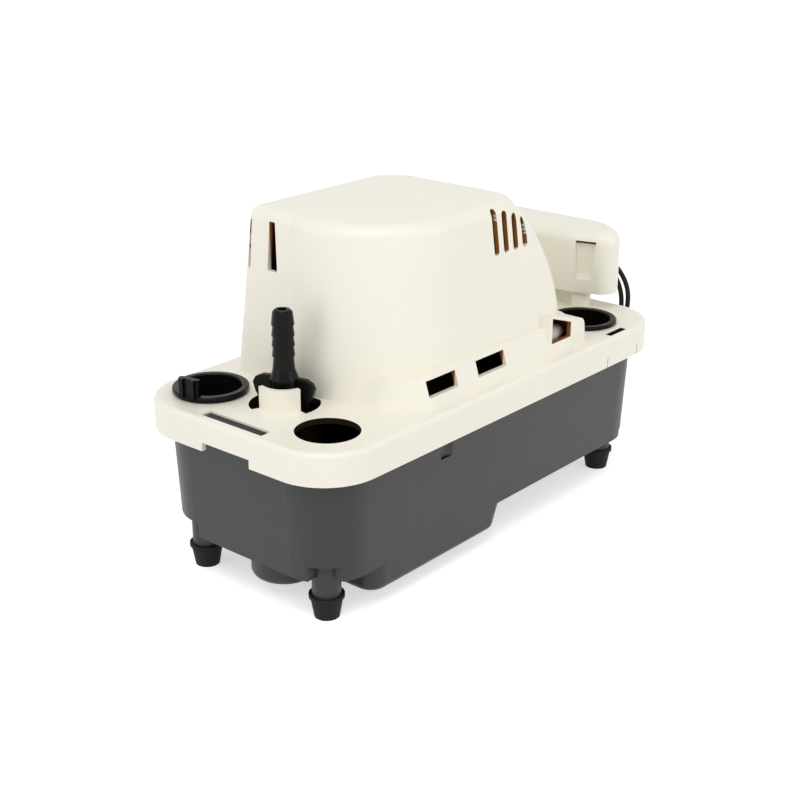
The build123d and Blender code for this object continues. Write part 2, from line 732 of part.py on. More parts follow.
with BuildPart() as check_valve_body:
    with BuildSketch(Plane.XZ):
        with BuildLine():
            Polyline((0, stem_low), (stem_r, stem_low), (stem_r, 97.6), (7.0, 98.6), (7.0, 104.9),
                     (barb_r - 0.1, 109.5), *barb_profile()[2:], (0, stem_low))
        make_face()
    revolve(axis=Axis.Z)
    pillar(0, 0, stem_low, seat_z, seat_hole_r, Mode.SUBTRACT)
    pillar(0, 0, seat_z, chamber_top, chamber_r, Mode.SUBTRACT)
    pillar(0, 0, chamber_top, barb_top, barb_bore_r, Mode.SUBTRACT)
    add(upright_tube(0, 0, ring_z - ring_section - 0.1, ring_z + ring_section + 0.1, stem_r + 1, ring_groove_r),
        mode=Mode.SUBTRACT)
    for turn in (ear_angle, ear_angle + 180):
        flat = Plane(origin=(0, 0, 0), x_dir=(cos(radians(turn)), sin(radians(turn)), 0),
                     z_dir=(sin(radians(turn)), -cos(radians(turn)), 0))
        with BuildSketch(flat):
            add(ear_outline())
        extrude(amount=ear_thick / 2, both=True)
    pillar(0, 0, seat_z, chamber_top, chamber_r, Mode.SUBTRACT)
save(check_valve_body.part.moved(Location((valve_x, 0, 0))), "check_valve_body")

with BuildPart() as check_valve_ball:
    with Locations((valve_x, 0, ball_z)):
        Sphere(ball_r)
save(check_valve_ball.part, "check_valve_ball")

with BuildPart() as check_valve_o_ring:
    with Locations((valve_x, 0, ring_z)):
        Torus(ring_centre_r, ring_section)
save(check_valve_o_ring.part, "check_valve_o_ring")


# ======================================================================================================
# Motor
# ======================================================================================================
stack_top = stack_z + stack_height

with BuildPart() as stator_core:
    box_between((motor_x - 30, -stack_half_w, stack_z), (20, stack_half_w, stack_top))
    box_between((-8, -17, stack_z), (6, 17, stack_top), Mode.SUBTRACT)
    fillet(stator_core.edges().filter_by(Axis.Z).group_by(Axis.X)[0], 8)
    pillar(motor_x, 0, stack_z, stack_top, rotor_r + air_gap, Mode.SUBTRACT)
    for side in (-1, 1):
        pillar(motor_x, side * bracket_leg_y, stack_z, stack_top, bolt_r + seat_gap, Mode.SUBTRACT)
save(stator_core.part, "stator_core")


def limb_sleeve(low, high, y0, y1, wall_x, wall_z):
    """A rectangular sleeve round the limb of the core that carries the coil."""
    with BuildPart() as sleeve:
        box_between((low[0] - wall_x, y0, low[1] - wall_z), (high[0] + wall_x, y1, high[1] + wall_z))
        box_between((low[0], y0, low[1]), (high[0], y1, high[1]), Mode.SUBTRACT)
    return sleeve.part


limb_low = (6 - 0.2, stack_z - 0.2)
limb_high = (20 + 0.2, stack_top + 0.2)
with BuildPart() as coil_bobbin:
    add(limb_sleeve(limb_low, limb_high, -15, 15, 1.2, 1.2))
    for y0 in (-16.6, 15):
        add(limb_sleeve(limb_low, limb_high, y0, y0 + 1.6, 11.5, 11.5))
save(coil_bobbin.part, "coil_bobbin")

with BuildPart() as motor_coil:
    add(limb_sleeve((limb_low[0] - 1.25, limb_low[1] - 1.25), (limb_high[0] + 1.25, limb_high[1] + 1.25),
                    -14.9, 14.9, 9.0, 9.0))
    fillet(motor_coil.edges().filter_by(Axis.Y).group_by(Axis.X)[0], 4)
    fillet(motor_coil.edges().filter_by(Axis.Y).group_by(Axis.X)[-1], 4)
save(motor_coil.part, "motor_coil")

shaft_low = impeller_z[0] - 1
shaft_high = fan_z + fan_height
with BuildPart() as motor_shaft:
    pillar(motor_x, 0, shaft_low, shaft_high, shaft_r)
    chamfer(motor_shaft.edges().filter_by(GeomType.CIRCLE), 0.4)
save(motor_shaft.part, "motor_shaft")

with BuildPart() as rotor:
    add(upright_tube(motor_x, 0, stack_z - 1, stack_top + rotor_over, rotor_r, shaft_r + seat_gap))
    add(upright_tube(motor_x, 0, stack_z - rotor_under, stack_z - 1, rotor_r - 3, shaft_r + seat_gap))
save(rotor.part, "rotor")


def bracket(plate_z, boss_z, leg_spans):
    """A bearing bracket: a bar across the motor with a boss and two bored legs."""
    with BuildPart() as bar:
        with BuildSketch(Plane.XY.offset(plate_z)):
            with Locations((motor_x, 0)):
                SlotCenterToCenter(2 * bracket_leg_y, 2 * (bracket_leg_r + 1.5), rotation=90)
        extrude(amount=bracket_thick)
        pillar(motor_x, 0, boss_z, boss_z + bearing_height, bearing_r + 2.2)
        pillar(motor_x, 0, boss_z, boss_z + bearing_height, bearing_r + seat_gap, Mode.SUBTRACT)
        for side in (-1, 1):
            for z0, z1 in leg_spans:
                pillar(motor_x, side * bracket_leg_y, z0, z1, bracket_leg_r)
            pillar(motor_x, side * bracket_leg_y, leg_spans[0][0], plate_z + 50, bolt_r + seat_gap, Mode.SUBTRACT)
    return bar.part


lower_plate = bearing_z[0] + 3
upper_plate = bearing_z[1] + 1
save(bracket(lower_plate, bearing_z[0], [(deck_top, lower_plate + 1), (lower_plate + 1, stack_z)]),
     "lower_bracket")
save(bracket(upper_plate, bearing_z[1], [(stack_top, upper_plate + 1)]), "upper_bracket")
for name, z0 in (("lower_bearing", bearing_z[0]), ("upper_bearing", bearing_z[1])):
    save(upright_tube(motor_x, 0, z0, z0 + bearing_height, bearing_r, shaft_r + run_gap / 2), name)

bolt_top = upper_plate + bracket_thick
with BuildPart() as motor_bolts:
    for side in (-1, 1):
        pillar(motor_x, side * bracket_leg_y, deck_under, bolt_top + 1, bolt_r)
        pillar(motor_x, side * bracket_leg_y, bolt_top, bolt_top + 2.6, bolt_r * 1.8)
save(motor_bolts.part, "motor_bolts")

blades = 7
with BuildPart() as cooling_fan:
    fan_top = fan_z + fan_height
    pillar(motor_x, 0, fan_z, fan_top, 7)
    pillar(motor_x, 0, fan_top - 1.6, fan_top, fan_r)
    for number in range(blades):
        turn = Location((motor_x, 0, fan_z + fan_height / 2), (0, 0, 360 * number / blades))
        with Locations(turn * Location((fan_r - 13, 4, 0))):
            Box(24, 1.6, fan_height)
    pillar(motor_x, 0, fan_z, fan_top, shaft_r + seat_gap, Mode.SUBTRACT)
save(cooling_fan.part, "cooling_fan")


# ======================================================================================================
# Pump
# ======================================================================================================
screw_ring = 23.9
screw_r = 1.3

with BuildPart() as volute_housing:
    pillar(motor_x, 0, volute_z[0], volute_z[1], volute_r)
    with Locations(Location((nozzle_end_x / 2 + (motor_x - cavity_r) / 2, 0, nozzle_z), (0, 90, 0))):
        Cylinder(tube_r + 1, motor_x - cavity_r - nozzle_end_x)
    pillar(motor_x, 0, volute_z[0], cavity_top, cavity_r, Mode.SUBTRACT)
    with Locations(Location((nozzle_end_x / 2 + (motor_x - cavity_r) / 2 + 1, 0, nozzle_z), (0, 90, 0))):
        Cylinder(tube_bore_r, motor_x - cavity_r - nozzle_end_x + 4, mode=Mode.SUBTRACT)
    pillar(motor_x, 0, cavity_top, volute_z[1], shaft_r + 0.3, Mode.SUBTRACT)
    with Locations((motor_x, 0, volute_z[0] + 4)):
        with PolarLocations(screw_ring, 4, start_angle=45):
            Cylinder(screw_r + seat_gap, 8, mode=Mode.SUBTRACT)
save(volute_housing.part, "volute_housing")

eye_r = 8.0
strainer_low = sump_z + tank_wall + loose_gap
with BuildPart() as volute_cover:
    pillar(motor_x, 0, volute_z[0] - 2.5, volute_z[0], volute_r)
    pillar(motor_x, 0, volute_z[0] - 2.5, volute_z[0], eye_r, Mode.SUBTRACT)
    with Locations((motor_x, 0, (strainer_low + volute_z[0] - 2) / 2)):
        with PolarLocations(volute_r - 7, 12):
            Box(4, 2.4, volute_z[0] - 2 - strainer_low)
    with Locations((motor_x, 0, volute_z[0] - 1.25)):
        with PolarLocations(screw_ring, 4, start_angle=45):
            Cylinder(screw_r + seat_gap, 2.5, mode=Mode.SUBTRACT)
save(volute_cover.part, "volute_cover")

with BuildPart() as volute_screws:
    with Locations((motor_x, 0, volute_z[0] + 2.2)):
        with PolarLocations(screw_ring, 4, start_angle=45):
            Cylinder(screw_r, 9.4)
    with Locations((motor_x, 0, volute_z[0] - 3.3)):
        with PolarLocations(screw_ring, 4, start_angle=45):
            Cylinder(screw_r * 1.6, 1.6)
save(volute_screws.part, "volute_screws")

with BuildPart() as impeller:
    pillar(motor_x, 0, impeller_z[1] - 1.6, impeller_z[1], impeller_r)
    pillar(motor_x, 0, impeller_z[0], impeller_z[1], 6)
    for number in range(6):
        turn = Location((motor_x, 0, (impeller_z[0] + impeller_z[1]) / 2), (0, 0, 60 * number))
        with Locations(turn * Location((12.5, 2.5, 0))):
            Box(14, 1.6, impeller_z[1] - impeller_z[0])
    pillar(motor_x, 0, impeller_z[0], impeller_z[1], shaft_r + seat_gap, Mode.SUBTRACT)
save(impeller.part, "impeller")

with BuildPart() as pump_column:
    pillar(motor_x, 0, volute_z[1], deck_under, column_r)
    pillar(motor_x, 0, deck_under - 3.5, deck_under, column_r + 9)
    pillar(motor_x, 0, volute_z[1], volute_z[1] + 2.5, column_r + 7)
    pillar(motor_x, 0, volute_z[1], deck_under, column_bore_r, Mode.SUBTRACT)
    box_between((motor_x - 2.5, -column_r - 1, 70), (motor_x + 2.5, column_r + 1, 80), Mode.SUBTRACT)
save(pump_column.part, "pump_column")

save(upright_tube(motor_x, 0, volute_z[1], volute_z[1] + 8, column_bore_r - seat_gap, shaft_r + run_gap / 2),
     "column_bushing")

with BuildPart() as discharge_tube:
    with BuildLine() as run:
        FilletPolyline((nozzle_end_x, 0, nozzle_z), (valve_x, 0, nozzle_z), (valve_x, 0, well_floor_z - 0.5),
                       radius=14)
    with BuildSketch(Plane(origin=(nozzle_end_x, 0, nozzle_z), z_dir=(-1, 0, 0))):
        Circle(tube_r)
        Circle(tube_bore_r, mode=Mode.SUBTRACT)
    sweep()
save(discharge_tube.part, "discharge_tube")


# ======================================================================================================
# Float and switches
# ======================================================================================================
with BuildPart() as float_body:
    with BuildSketch(Plane.XY.offset(float_z)):
        with Locations((rod_x - float_reach[0], rod_y - float_reach[1])):
            RectangleRounded(float_side, float_side, float_corner)
    extrude(amount=float_height)
    fillet(float_body.edges().group_by(Axis.Z)[0] + float_body.edges().group_by(Axis.Z)[-1], 3)
    pillar(rod_x, rod_y, float_z, float_z + float_height, rod_r + seat_gap, Mode.SUBTRACT)
save(float_body.part, "float")

arm_angle = -8.0
arm_under = pivot_z + (rod_y + rod_r - pivot_y) * tan(radians(arm_angle)) - arm_thick / 2 / cos(radians(arm_angle))
with BuildPart() as float_rod:
    pillar(rod_x, rod_y, float_z + 2, arm_under - loose_gap, rod_r)
    pillar(rod_x, rod_y, box_base + loose_gap, box_base + loose_gap + 1.8, rod_r + 1.6)
save(float_rod.part, "float_rod")

bracket_x = (rod_x - 3.6, rod_x + 16.5)
upright = 1.4
with BuildPart() as switch_lever:
    with Locations(Location(((bracket_x[0] + bracket_x[1]) / 2, pivot_y, pivot_z), (0, 90, 0))):
        Cylinder(3.6, bracket_x[1] - bracket_x[0] - 2 * upright - 0.6)
    arm = Location((rod_x, pivot_y, pivot_z), (arm_angle, 0, 0))
    with Locations(arm * Location((0, (rod_y + 4 - pivot_y) / 2, 0))):
        Box(4, rod_y + 4 - pivot_y, arm_thick)
    for x in switch_x:
        with Locations((x, pivot_y - nose_reach / 2, pivot_z)):
            Box(3, nose_reach, 2)
        with Locations(Location((x, pivot_y - nose_reach, pivot_z), (0, 90, 0))):
            Cylinder(1, 3)
    with Locations(Location(((bracket_x[0] + bracket_x[1]) / 2, pivot_y, pivot_z), (0, 90, 0))):
        Cylinder(pin_r + run_gap, 30, mode=Mode.SUBTRACT)
save(switch_lever.part, "switch_lever")

with BuildPart() as switch_bracket:
    for x0 in (bracket_x[0], bracket_x[1] - upright):
        box_between((x0, pivot_y - 4, box_base), (x0 + upright, pivot_y + 8, pivot_z + 4))
    box_between((bracket_x[0], pivot_y + 3, box_base), (bracket_x[1], pivot_y + 8, box_base + 1.5))
    with Locations(Location(((bracket_x[0] + bracket_x[1]) / 2, pivot_y, pivot_z), (0, 90, 0))):
        Cylinder(pin_r + seat_gap, 30, mode=Mode.SUBTRACT)
save(switch_bracket.part, "switch_bracket")

with BuildPart() as lever_pin:
    with Locations(Location(((bracket_x[0] + bracket_x[1]) / 2, pivot_y, pivot_z), (0, 90, 0))):
        Cylinder(pin_r, bracket_x[1] - bracket_x[0])
save(lever_pin.part, "lever_pin")

plunger_y = pivot_y - nose_reach
plunger_top = pivot_z - 1 - loose_gap
plunger_drop = lever_gain * float_travel / 1000 * nose_reach
for name, x in zip(("run_switch", "safety_switch"), switch_x):
    width, length, height = switch_size
    with BuildPart() as switch_case:
        box_between((x - width / 2, plunger_y - length / 2, box_base), (x + width / 2, pivot_y + 2, box_base + height))
        pillar(x, plunger_y, box_base + 4, box_base + height, plunger_r + run_gap, Mode.SUBTRACT)
    save(switch_case.part, name)
    with BuildPart() as plunger:
        pillar(x, plunger_y, box_base + 4 + plunger_drop + loose_gap, plunger_top, plunger_r)
    save(plunger.part, f"{name}_plunger")


with BuildPart() as wire_connector:
    with BuildSketch(Plane.XZ):
        with BuildLine():
            Polyline((0, 0), (6, 0), (5.4, 9), (3.6, 17), (0, 17), (0, 0))
        make_face()
    revolve(axis=Axis.Z)
save(wire_connector.part.moved(Location((44, -46, deck_top + 6), (0, 90, 0))), "wire_connector")


# ======================================================================================================
# Overflow switch leads
# ======================================================================================================
def lead_tube(points):
    """A lead along its route, each bend as wide as its two runs allow."""
    radii = []
    for before, here, after in zip(points, points[1:], points[2:]):
        turn = (here - before).get_angle(after - here)
        shorter = min((here - before).length, (after - here).length)
        radii.append(0.45 * shorter / tan(radians(turn) / 2))
    with BuildPart() as tube:
        with BuildLine() as route:
            FilletPolyline(*points, radius=radii)
        with BuildSketch(Plane(origin=points[0], z_dir=points[1] - points[0])):
            Circle(lead_r)
        sweep()
    length = route.wires()[0].length
    print("lead", round(length, 1), "radii", [round(r, 1) for r in radii],
          "volume ratio", round(tube.part.volume / (pi * lead_r ** 2 * length), 4))
    return tube.part


def lead_coil(centre):
    """Outer shape of a coiled lead lying on the floor, with its two straight ends."""
    turn_r = coil_r + lead_r
    with BuildPart() as coil:
        with Locations((centre[0], centre[1], 2 * lead_r + coil_slack / 2)):
            Cylinder(coil_r + 2 * lead_r + coil_slack, 4 * lead_r + coil_slack)
            Cylinder(coil_r - 2 * lead_r - coil_slack, 4 * lead_r + coil_slack, mode=Mode.SUBTRACT)
        with Locations(Location((centre[0] - turn_r, centre[1] - stub_in / 2, 3 * lead_r), (90, 0, 0))):
            Cylinder(lead_r, stub_in)
        with Locations(Location((centre[0] + stub_out / 2, centre[1] + turn_r, lead_r + coil_slack), (0, 90, 0))):
            Cylinder(lead_r, stub_out)
    return coil.part


lead_routes = {
    "a": [(156.0, -4.0, 112.6), (161.2, -6.4, 111.9), (164.8, -11.2, 109.4), (165.4, -16.8, 105.2),
          (164.0, -22.6, 100.4), (161.8, -27.4, 94.6), (159.0, -30.0, 88.0), (156.2, -30.6, 80.4),
          (153.8, -29.4, 71.8), (151.6, -26.4, 62.4), (149.6, -22.2, 52.4), (147.8, -17.4, 42.4),
          (146.3, -12.0, 32.8), (145.2, -6.2, 23.6), (144.7, 0.0, 15.2), (144.55, 6.4, 8.4),
          (144.55, 13.4, 4.35)],
    "b": [(156.6, -4.0, 107.6), (161.9, -7.0, 106.6), (164.8, -12.0, 104.0), (163.9, -17.6, 99.4),
          (161.4, -22.8, 93.2), (158.4, -26.0, 86.4), (155.8, -26.8, 79.0), (153.6, -25.4, 71.0),
          (151.6, -22.0, 62.8), (149.6, -16.8, 54.6), (147.8, -9.4, 46.6), (146.6, -0.8, 38.8),
          (145.8, 8.6, 31.4), (145.2, 18.6, 24.2), (144.8, 29.0, 17.4), (144.6, 39.4, 11.0),
          (144.55, 49.6, 4.35)],
}
for name, height in zip("ab", lead_heights):
    centre = coil_centres[name]
    turn_r = coil_r + lead_r
    route = [(lead_start_x, lead_y, height), *lead_routes[name],
             (centre[0] - turn_r, centre[1] - stub_in, 3 * lead_r)]
    save(lead_tube([Vector(*point) for point in route]), f"lead_{name}")
    save(lead_coil(centre), f"lead_{name}_coil")
    with BuildPart() as terminal:
        with Locations((centre[0] + stub_out + 10, centre[1] + turn_r, 2.4)):
            Box(20, 8, 4.8)
        fillet(terminal.edges().filter_by(Axis.X), 1.6)
    save(terminal.part, f"lead_{name}_terminal")
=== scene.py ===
"""Looks of the condensate pump: materials for its CAD nodes, its two free leads, studio and camera."""

import math

import bpy
from mathutils import Matrix, Vector
from mathutils.bvhtree import BVHTree

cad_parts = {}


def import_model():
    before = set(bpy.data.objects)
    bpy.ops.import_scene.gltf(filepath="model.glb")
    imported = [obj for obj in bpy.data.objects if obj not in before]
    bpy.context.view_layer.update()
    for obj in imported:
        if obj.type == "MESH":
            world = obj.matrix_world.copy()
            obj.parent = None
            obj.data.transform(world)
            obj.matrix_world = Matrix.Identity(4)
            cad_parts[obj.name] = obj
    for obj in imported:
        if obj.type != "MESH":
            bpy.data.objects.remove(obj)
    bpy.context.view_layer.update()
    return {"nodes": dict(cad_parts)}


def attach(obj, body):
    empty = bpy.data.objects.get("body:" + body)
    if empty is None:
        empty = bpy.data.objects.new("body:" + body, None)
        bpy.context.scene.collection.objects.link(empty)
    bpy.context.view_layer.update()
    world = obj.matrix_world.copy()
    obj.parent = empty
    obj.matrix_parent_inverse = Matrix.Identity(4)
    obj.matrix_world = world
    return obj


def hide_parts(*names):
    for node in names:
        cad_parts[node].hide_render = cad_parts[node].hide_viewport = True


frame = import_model()
nodes = frame["nodes"]

MM = 0.001
# The pump's own axes stand this far from the frame's origin, which is the middle of the footprint.
SHIFT_X = -3.6


def place(x, y, z):
    """A point given in millimetres from the deck's centre on the floor, as a frame point in metres."""
    return Vector(((x + SHIFT_X) * MM, y * MM, z * MM))


# ---- materials ---------------------------------------------------------------------------------------
def srgb(r, g, b):
    """An 8-bit display colour as a linear one."""
    parts = [c / 255 for c in (r, g, b)]
    return tuple(c / 12.92 if c <= 0.04045 else ((c + 0.055) / 1.055) ** 2.4 for c in parts) + (1.0,)


class Shader:
    """A node material whose colour, roughness and relief are built up from procedural noise."""

    def __init__(self, name, roughness=0.5, metallic=0.0, **sockets):
        self.material = bpy.data.materials.new(name)
        self.material.use_nodes = True
        self.tree = self.material.node_tree
        self.surface = self.tree.nodes["Principled BSDF"]
        self.surface.inputs["Roughness"].default_value = roughness
        self.surface.inputs["Metallic"].default_value = metallic
        for key, value in sockets.items():
            self.surface.inputs[key.replace("_", " ")].default_value = value
        self.where = self.tree.nodes.new("ShaderNodeTexCoord").outputs["Object"]

    def node(self, kind, **values):
        made = self.tree.nodes.new(kind)
        for key, value in values.items():
            if key in made.inputs:
                made.inputs[key].default_value = value
            else:
                setattr(made, key, value)
        return made

    def link(self, output, target):
        self.tree.links.new(output, target)

    def noise(self, scale, detail=3.0, stretch=(1, 1, 1)):
        """Noise over the object, scale in features per metre, stretched along an axis."""
        mapping = self.node("ShaderNodeMapping")
        mapping.inputs["Scale"].default_value = stretch
        self.link(self.where, mapping.inputs["Vector"])
        made = self.node("ShaderNodeTexNoise", Scale=scale, Detail=detail)
        self.link(mapping.outputs["Vector"], made.inputs["Vector"])
        return made.outputs["Fac"]

    def ramp(self, value, low, high, start=0.3, end=0.7):
        """Value spread between two colours."""
        made = self.node("ShaderNodeValToRGB")
        made.color_ramp.elements[0].position = start
        made.color_ramp.elements[0].color = low
        made.color_ramp.elements[1].position = end
        made.color_ramp.elements[1].color = high
        self.link(value, made.inputs["Fac"])
        return made.outputs["Color"]

    def within(self, low, high):
        """One inside the box between two corners, else nought."""
        split = self.node("ShaderNodeSeparateXYZ")
        self.link(self.where, split.inputs["Vector"])
        inside = None
        for axis, start, end in zip("XYZ", low, high):
            near = self.node("ShaderNodeMath", operation="COMPARE")
            self.link(split.outputs[axis], near.inputs[0])
            near.inputs[1].default_value = (start + end) / 2
            near.inputs[2].default_value = (end - start) / 2
            if inside is None:
                inside = near.outputs["Value"]
                continue
            both = self.node("ShaderNodeMath", operation="MULTIPLY")
            self.link(inside, both.inputs[0])
            self.link(near.outputs["Value"], both.inputs[1])
            inside = both.outputs["Value"]
        return inside

    def colour(self, output):
        self.link(output, self.surface.inputs["Base Color"])

    def rough(self, value, low, high):
        made = self.node("ShaderNodeMapRange")
        made.inputs["To Min"].default_value = low
        made.inputs["To Max"].default_value = high
        self.link(value, made.inputs["Value"])
        self.link(made.outputs["Result"], self.surface.inputs["Roughness"])

    def relief(self, height, distance, strength=1.0):
        made = self.node("ShaderNodeBump", Strength=strength, Distance=distance)
        self.link(height, made.inputs["Height"])
        self.link(made.outputs["Normal"], self.surface.inputs["Normal"])


# Noise features per metre.
FLOW_SCALE = 22.0
GLOSS_SCALE = 60.0
METAL_TONE_SCALE = 90.0
METAL_GLOSS_SCALE = 300.0
METAL_GRAIN_SCALE = 1500.0
BAND_DEPTH = 0.00008


def moulded_shader(name, colour, roughness=0.4, tint=0.04, grain=2600.0, depth=0.00001, gloss=0.5):
    """Moulded plastic: slow flow shading, fine spark grain and a slightly uneven gloss."""
    shader = Shader(name, roughness, Specular_IOR_Level=gloss)
    low = tuple(c * (1 - tint) for c in colour[:3]) + (1.0,)
    high = tuple(min(1.0, c * (1 + tint)) for c in colour[:3]) + (1.0,)
    shader.colour(shader.ramp(shader.noise(FLOW_SCALE), low, high))
    shader.rough(shader.noise(GLOSS_SCALE), roughness - 0.05, roughness + 0.05)
    shader.relief(shader.noise(grain, 2.0), depth)
    return shader


def moulded(*values, **named):
    """The material of a moulded plastic."""
    return moulded_shader(*values, **named).material


def metal(name, colour, roughness=0.3, stretch=(1, 1, 1), depth=0.00001):
    """Bare metal with a drawn or cast surface."""
    shader = Shader(name, roughness, 1.0)
    low = tuple(c * 0.8 for c in colour[:3]) + (1.0,)
    shader.colour(shader.ramp(shader.noise(METAL_TONE_SCALE, 4.0, stretch), low, colour))
    shader.rough(shader.noise(METAL_GLOSS_SCALE, 3.0, stretch), roughness - 0.08, roughness + 0.12)
    shader.relief(shader.noise(METAL_GRAIN_SCALE, 3.0, stretch), depth)
    return shader.material


def banded(name, colour, dark, pitch, metallic=0.0, roughness=0.45, axis="Z"):
    """Fine parallel bands, as of stacked laminations or wound tape."""
    shader = Shader(name, roughness, metallic)
    wave = shader.node("ShaderNodeTexWave", Scale=math.pi / (10 * pitch), Distortion=0.4)
    wave.bands_direction = axis
    shader.link(shader.where, wave.inputs["Vector"])
    shader.colour(shader.ramp(wave.outputs["Fac"], dark, colour, 0.1, 0.6))
    shader.relief(wave.outputs["Fac"], BAND_DEPTH)
    return shader.material


CREAM = {"colour": srgb(243, 239, 225), "roughness": 0.36, "tint": 0.012}
# Painted shade: dark brown for the deck's top under the motor hood, where the hood's shade falls.
PAINTED_SHADE_UNDER_HOOD = srgb(26, 18, 10)
cream = moulded("cream_plastic", **CREAM)
# Painted shade: warm brown for the hood's inner faces, standing in for shade and light glowing through the
# cream shell.
cream_painted_shade = moulded("cream_inside", srgb(150, 92, 30), 0.6, 0.06)
tank_grey = moulded("tank_plastic", srgb(54, 55, 54), 0.42, 0.05, 1500.0, 0.00002, gloss=0.35)
# Painted shade: near-black brown for the tank's inner faces and the deck's wells, where shade falls.
tank_painted_shade = moulded("tank_inside", srgb(34, 28, 18), 0.6, 0.08, gloss=0.1)
black = moulded("black_plastic", srgb(13, 13, 11), 0.26, 0.12, gloss=0.14)
rubber = moulded("foot_rubber", srgb(34, 35, 36), 0.62, 0.10, 1800.0, 0.00003, gloss=0.15)
jacket = moulded("lead_jacket", srgb(14, 13, 11), 0.32, 0.10, 900.0, 0.00002, gloss=0.2)
nylon = moulded("white_nylon", srgb(232, 230, 220), 0.45, 0.02)
foam = moulded("float_foam", srgb(225, 221, 208), 0.75, 0.04, 700.0, 0.0001)
terminal = moulded("terminal_nylon", srgb(196, 176, 84), 0.35, 0.05)
steel = metal("steel", (0.60, 0.60, 0.61, 1.0), 0.28, (1, 1, 12))
cast = metal("cast_bracket", (0.58, 0.58, 0.60, 1.0), 0.5, (1, 1, 1), 0.00005)
bronze = metal("bronze", (0.62, 0.42, 0.20, 1.0), 0.42)
stack = banded("laminations", (0.30, 0.30, 0.31, 1.0), (0.10, 0.10, 0.11, 1.0), 0.0007, 0.9, 0.4)
tape = banded("coil_tape", srgb(176, 112, 40), srgb(120, 68, 20), 0.0028, 0.0, 0.55, "Y")

finishes = {
    cream: ["deck_cover", "switch_cover", "switch_tray", "motor_hood"],
    tank_grey: ["tank"],
    black: ["inlet_adapter_left", "inlet_adapter_rear", "check_valve_body", "power_gland", "cooling_fan",
            "volute_housing", "volute_cover", "impeller", "pump_column", "discharge_tube", "run_switch",
            "safety_switch"],
    rubber: ["foot_front_left", "foot_front_right", "foot_rear_left", "foot_rear_right", "lead_grommet",
             "check_valve_o_ring"],
    nylon: ["coil_bobbin", "switch_lever", "run_switch_plunger", "safety_switch_plunger", "wire_connector"],
    foam: ["float"],
    terminal: ["lead_a_terminal", "lead_b_terminal"],
    steel: ["motor_shaft", "motor_bolts", "volute_screws", "float_rod", "switch_bracket", "lever_pin",
            "check_valve_ball"],
    cast: ["lower_bracket", "upper_bracket"],
    bronze: ["lower_bearing", "upper_bearing", "column_bushing"],
    stack: ["stator_core", "rotor"],
    tape: ["motor_coil"],
}
for material, names in finishes.items():
    for name in names:
        slots = nodes[name].data.materials
        slots.clear()
        slots.append(material)


# ---- painted shade on inner faces --------------------------------------------------------------------
FACE_GAP = 0.0003       # a line starts this far over its face
TANK_ACROSS = 0.012     # walls inside the tank are further apart than this
TANK_FLOOR = 0.012      # the tank's feet and underside lie lower
DECK_TOP = 92.0
DECK_SKIN = 1.0         # height on either side of the deck's top in which painted shade darkens it under the hood
RIM_OVER = 0.1          # a well's highest corner lies at most this far over the deck's top
RIM_UNDER = 0.3         # and its lowest corner at least this far under it
# Corners of the box in which the deck's top gets painted shade under the hood.
UNDER_HOOD_LOW = (-56.0, -56.0)
UNDER_HOOD_HIGH = (51.0, 56.0)
# Middle and half sizes of the valve's well, the open inlet, the two adapters' seats and the near slot,
# which get painted shade.
WELLS = [(-99.4, 0.0, 19.2, 19.2), (-111.1, -38.7, 16.2, 16.2), (-111.1, 38.7, 17.4, 17.4),
         (98.8, -37.4, 17.4, 17.4), (94.65, -61.8, 9.0, 2.4)]


def faces_of(*names):
    """A search tree of all the faces of some nodes."""
    corners, polygons = [], []
    for name in names:
        first = len(corners)
        mesh = nodes[name].data
        corners += [corner.co for corner in mesh.vertices]
        polygons += [tuple(first + i for i in face.vertices) for face in mesh.polygons]
    return BVHTree.FromPolygons(corners, polygons)


def meets(tree, face, way, clear=0.0):
    """Whether a line from a face meets something, further away than clear."""
    start = face.center + FACE_GAP * face.normal
    hit = tree.ray_cast(start, way)[0]
    return hit is not None and (hit - start).length > clear


def in_well(mesh, face):
    """Whether a face of the deck is a wall or a floor of one of its wells, all of it below the top."""
    heights = [mesh.vertices[i].co.z / MM - DECK_TOP for i in face.vertices]
    if max(heights) > RIM_OVER or min(heights) > -RIM_UNDER:
        return False
    for x, y, half_x, half_y in WELLS:
        away = (face.center - place(x, y, 0)) / MM
        if (away.x / half_x) ** 2 + (away.y / half_y) ** 2 < 1:
            return True
    return False


def shade(name, material, chosen):
    """Give the chosen faces of a node a second material, a painted shade."""
    mesh = nodes[name].data
    mesh.materials.append(material)
    for face in mesh.polygons:
        if chosen(mesh, face):
            face.material_index = 1


def paint_shade_under_hood():
    """The deck's material, with painted shade where its top lies under the motor hood."""
    shader = moulded_shader("deck_cover_with_painted_shade", **CREAM)
    low = place(*UNDER_HOOD_LOW, DECK_TOP - DECK_SKIN)
    high = place(*UNDER_HOOD_HIGH, DECK_TOP + DECK_SKIN)
    mix = shader.node("ShaderNodeMix", data_type="RGBA")
    shader.link(shader.within(low, high), mix.inputs["Factor"])
    shader.link(shader.surface.inputs["Base Color"].links[0].from_socket, mix.inputs["A"])
    mix.inputs["B"].default_value = PAINTED_SHADE_UNDER_HOOD
    shader.colour(mix.outputs["Result"])
    nodes["deck_cover"].data.materials[0] = shader.material


UP = Vector((0, 0, 1))
hood_faces = faces_of("motor_hood")
tank_faces = faces_of("tank", "deck_cover")
# Painted shade on the deck's top under the hood.
paint_shade_under_hood()
# Painted shade on the hood's inner faces, those with hood above them.
shade("motor_hood", cream_painted_shade, lambda mesh, face: meets(hood_faces, face, UP))
# Painted shade on the walls and floors of the deck's wells.
shade("deck_cover", tank_painted_shade, in_well)
# Painted shade on the tank's faces inside it and under the deck.
shade("tank", tank_painted_shade,
      lambda mesh, face: face.center.z > TANK_FLOOR and meets(tank_faces, face, face.normal, TANK_ACROSS))


